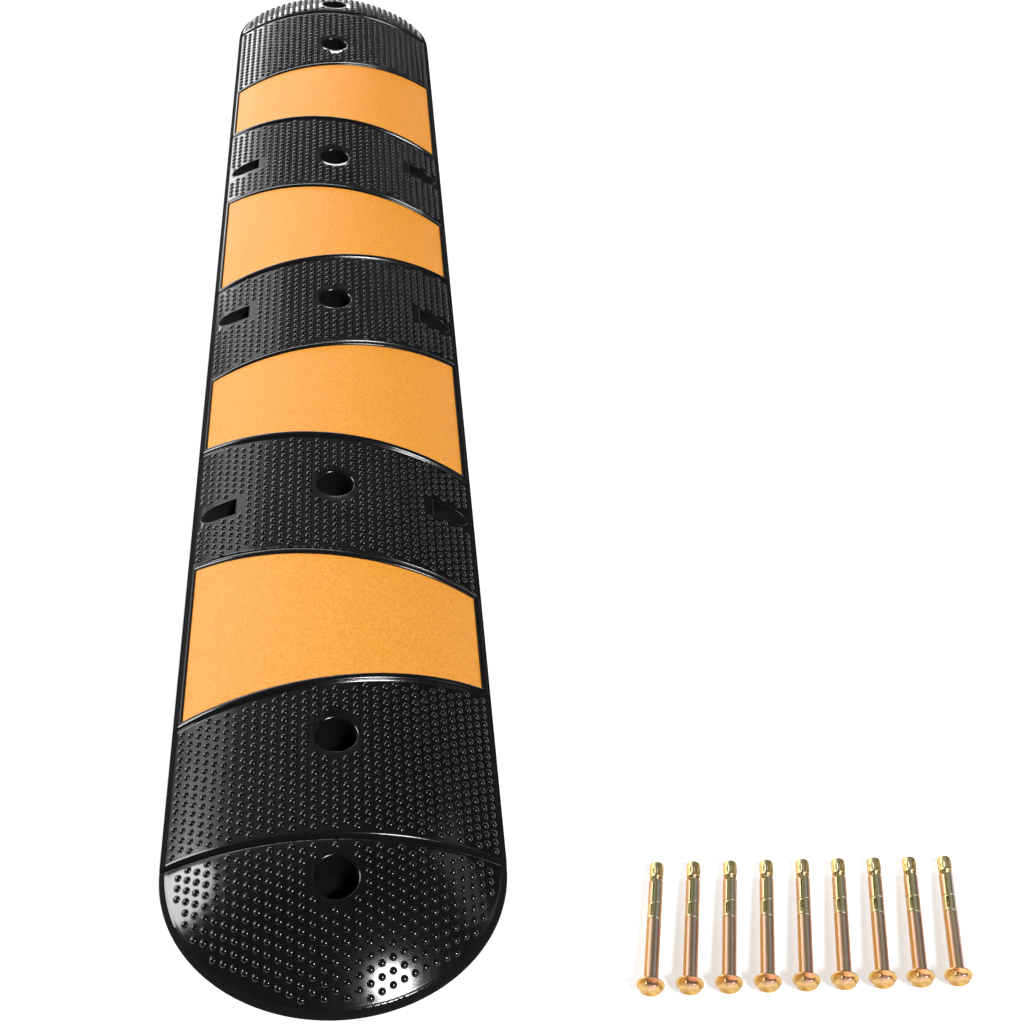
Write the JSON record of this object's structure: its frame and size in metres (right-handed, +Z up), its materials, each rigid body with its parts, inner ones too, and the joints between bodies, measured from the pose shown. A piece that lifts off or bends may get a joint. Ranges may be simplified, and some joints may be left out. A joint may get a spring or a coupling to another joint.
{
  "type": "rubber speed bump",
  "caption": "Low domed rubber speed bump with rounded end caps, slanted reflective panels, studded grip zones, anchor sockets, and loose sleeve anchors laid beside it.",
  "frame": {"origin": "on the ground under the middle of the body, on its centre line", "axes": "+Y along the bump from the near cap to the far cap, +Z up, +X to the side where the loose anchors lie"},
  "size_m": [0.7056, 1.83, 0.055],
  "materials": {
    "body_rubber": "moulded, slightly glossy, studded",
    "cap_rubber": "moulded, slightly glossy, studded",
    "reflective_film": "orange reflective film with a fine grain",
    "bolt_zinc": "yellow zinc",
    "spacer_zinc": "yellow zinc, pink and gold",
    "crush_zinc": "yellow zinc, greenish",
    "expansion_zinc": "yellow zinc, pink and gold",
    "nut_zinc": "yellow zinc, fluted"
  },
  "bodies": {
    "root": {"speed_bump_body": "body_rubber", "end_cap_near": "cap_rubber", "end_cap_far": "cap_rubber", "reflective_panel_1": "reflective_film", "reflective_panel_2": "reflective_film", "reflective_panel_3": "reflective_film", "reflective_panel_4": "reflective_film", "anchor_1_spacer_sleeve": "spacer_zinc", "anchor_1_crush_sleeve": "crush_zinc", "anchor_1_expansion_sleeve": "expansion_zinc", "anchor_2_spacer_sleeve": "spacer_zinc", "anchor_2_crush_sleeve": "crush_zinc", "anchor_2_expansion_sleeve": "expansion_zinc", "anchor_3_spacer_sleeve": "spacer_zinc", "anchor_3_crush_sleeve": "crush_zinc", "anchor_3_expansion_sleeve": "expansion_zinc", "anchor_4_spacer_sleeve": "spacer_zinc", "anchor_4_crush_sleeve": "crush_zinc", "anchor_4_expansion_sleeve": "expansion_zinc", "anchor_5_spacer_sleeve": "spacer_zinc", "anchor_5_crush_sleeve": "crush_zinc", "anchor_5_expansion_sleeve": "expansion_zinc", "anchor_6_spacer_sleeve": "spacer_zinc", "anchor_6_crush_sleeve": "crush_zinc", "anchor_6_expansion_sleeve": "expansion_zinc", "anchor_7_spacer_sleeve": "spacer_zinc", "anchor_7_crush_sleeve": "crush_zinc", "anchor_7_expansion_sleeve": "expansion_zinc", "anchor_8_spacer_sleeve": "spacer_zinc", "anchor_8_crush_sleeve": "crush_zinc", "anchor_8_expansion_sleeve": "expansion_zinc", "anchor_9_spacer_sleeve": "spacer_zinc", "anchor_9_crush_sleeve": "crush_zinc", "anchor_9_expansion_sleeve": "expansion_zinc"},
    "anchor_1_bolt": {"anchor_1_bolt": "bolt_zinc"},
    "anchor_1_cone_nut": {"anchor_1_cone_nut": "nut_zinc"},
    "anchor_2_bolt": {"anchor_2_bolt": "bolt_zinc"},
    "anchor_2_cone_nut": {"anchor_2_cone_nut": "nut_zinc"},
    "anchor_3_bolt": {"anchor_3_bolt": "bolt_zinc"},
    "anchor_3_cone_nut": {"anchor_3_cone_nut": "nut_zinc"},
    "anchor_4_bolt": {"anchor_4_bolt": "bolt_zinc"},
    "anchor_4_cone_nut": {"anchor_4_cone_nut": "nut_zinc"},
    "anchor_5_bolt": {"anchor_5_bolt": "bolt_zinc"},
    "anchor_5_cone_nut": {"anchor_5_cone_nut": "nut_zinc"},
    "anchor_6_bolt": {"anchor_6_bolt": "bolt_zinc"},
    "anchor_6_cone_nut": {"anchor_6_cone_nut": "nut_zinc"},
    "anchor_7_bolt": {"anchor_7_bolt": "bolt_zinc"},
    "anchor_7_cone_nut": {"anchor_7_cone_nut": "nut_zinc"},
    "anchor_8_bolt": {"anchor_8_bolt": "bolt_zinc"},
    "anchor_8_cone_nut": {"anchor_8_cone_nut": "nut_zinc"},
    "anchor_9_bolt": {"anchor_9_bolt": "bolt_zinc"},
    "anchor_9_cone_nut": {"anchor_9_cone_nut": "nut_zinc"}
  },
  "joints": [
    {"name": "anchor_1_bolt_turn", "type": "hinge", "parent": "root", "child": "anchor_1_bolt", "pos_m": [0.257, -0.905, 0.01234], "axis": [0.2077, 0.9771, -0.047], "range_deg": [0, 720]},
    {"name": "anchor_1_nut_slide", "type": "slide", "parent": "root", "child": "anchor_1_cone_nut", "axis": [-0.2077, -0.9771, 0.047], "range_m": [0, 0.003]},
    {"name": "anchor_2_bolt_turn", "type": "hinge", "parent": "root", "child": "anchor_2_bolt", "pos_m": [0.2903, -0.905, 0.01234], "axis": [0.2077, 0.9771, -0.047], "range_deg": [0, 720]},
    {"name": "anchor_2_nut_slide", "type": "slide", "parent": "root", "child": "anchor_2_cone_nut", "axis": [-0.2077, -0.9771, 0.047], "range_m": [0, 0.003]},
    {"name": "anchor_3_bolt_turn", "type": "hinge", "parent": "root", "child": "anchor_3_bolt", "pos_m": [0.3236, -0.905, 0.01234], "axis": [0.2077, 0.9771, -0.047], "range_deg": [0, 720]},
    {"name": "anchor_3_nut_slide", "type": "slide", "parent": "root", "child": "anchor_3_cone_nut", "axis": [-0.2077, -0.9771, 0.047], "range_m": [0, 0.003]},
    {"name": "anchor_4_bolt_turn", "type": "hinge", "parent": "root", "child": "anchor_4_bolt", "pos_m": [0.3569, -0.905, 0.01234], "axis": [0.2077, 0.9771, -0.047], "range_deg": [0, 720]},
    {"name": "anchor_4_nut_slide", "type": "slide", "parent": "root", "child": "anchor_4_cone_nut", "axis": [-0.2077, -0.9771, 0.047], "range_m": [0, 0.003]},
    {"name": "anchor_5_bolt_turn", "type": "hinge", "parent": "root", "child": "anchor_5_bolt", "pos_m": [0.3902, -0.905, 0.01234], "axis": [0.2077, 0.9771, -0.047], "range_deg": [0, 720]},
    {"name": "anchor_5_nut_slide", "type": "slide", "parent": "root", "child": "anchor_5_cone_nut", "axis": [-0.2077, -0.9771, 0.047], "range_m": [0, 0.003]},
    {"name": "anchor_6_bolt_turn", "type": "hinge", "parent": "root", "child": "anchor_6_bolt", "pos_m": [0.4235, -0.905, 0.01234], "axis": [0.2077, 0.9771, -0.047], "range_deg": [0, 720]},
    {"name": "anchor_6_nut_slide", "type": "slide", "parent": "root", "child": "anchor_6_cone_nut", "axis": [-0.2077, -0.9771, 0.047], "range_m": [0, 0.003]},
    {"name": "anchor_7_bolt_turn", "type": "hinge", "parent": "root", "child": "anchor_7_bolt", "pos_m": [0.4568, -0.905, 0.01234], "axis": [0.2077, 0.9771, -0.047], "range_deg": [0, 720]},
    {"name": "anchor_7_nut_slide", "type": "slide", "parent": "root", "child": "anchor_7_cone_nut", "axis": [-0.2077, -0.9771, 0.047], "range_m": [0, 0.003]},
    {"name": "anchor_8_bolt_turn", "type": "hinge", "parent": "root", "child": "anchor_8_bolt", "pos_m": [0.4901, -0.905, 0.01234], "axis": [0.2077, 0.9771, -0.047], "range_deg": [0, 720]},
    {"name": "anchor_8_nut_slide", "type": "slide", "parent": "root", "child": "anchor_8_cone_nut", "axis": [-0.2077, -0.9771, 0.047], "range_m": [0, 0.003]},
    {"name": "anchor_9_bolt_turn", "type": "hinge", "parent": "root", "child": "anchor_9_bolt", "pos_m": [0.5234, -0.905, 0.01234], "axis": [0.2077, 0.9771, -0.047], "range_deg": [0, 720]},
    {"name": "anchor_9_nut_slide", "type": "slide", "parent": "root", "child": "anchor_9_cone_nut", "axis": [-0.2077, -0.9771, 0.047], "range_m": [0, 0.003]}
  ],
  "couplings": [
    {"joint": "anchor_1_nut_slide", "follows": "anchor_1_bolt_turn", "m_per_rad": 0.00023873},
    {"joint": "anchor_2_nut_slide", "follows": "anchor_2_bolt_turn", "m_per_rad": 0.00023873},
    {"joint": "anchor_3_nut_slide", "follows": "anchor_3_bolt_turn", "m_per_rad": 0.00023873},
    {"joint": "anchor_4_nut_slide", "follows": "anchor_4_bolt_turn", "m_per_rad": 0.00023873},
    {"joint": "anchor_5_nut_slide", "follows": "anchor_5_bolt_turn", "m_per_rad": 0.00023873},
    {"joint": "anchor_6_nut_slide", "follows": "anchor_6_bolt_turn", "m_per_rad": 0.00023873},
    {"joint": "anchor_7_nut_slide", "follows": "anchor_7_bolt_turn", "m_per_rad": 0.00023873},
    {"joint": "anchor_8_nut_slide", "follows": "anchor_8_bolt_turn", "m_per_rad": 0.00023873},
    {"joint": "anchor_9_nut_slide", "follows": "anchor_9_bolt_turn", "m_per_rad": 0.00023873}
  ]
}
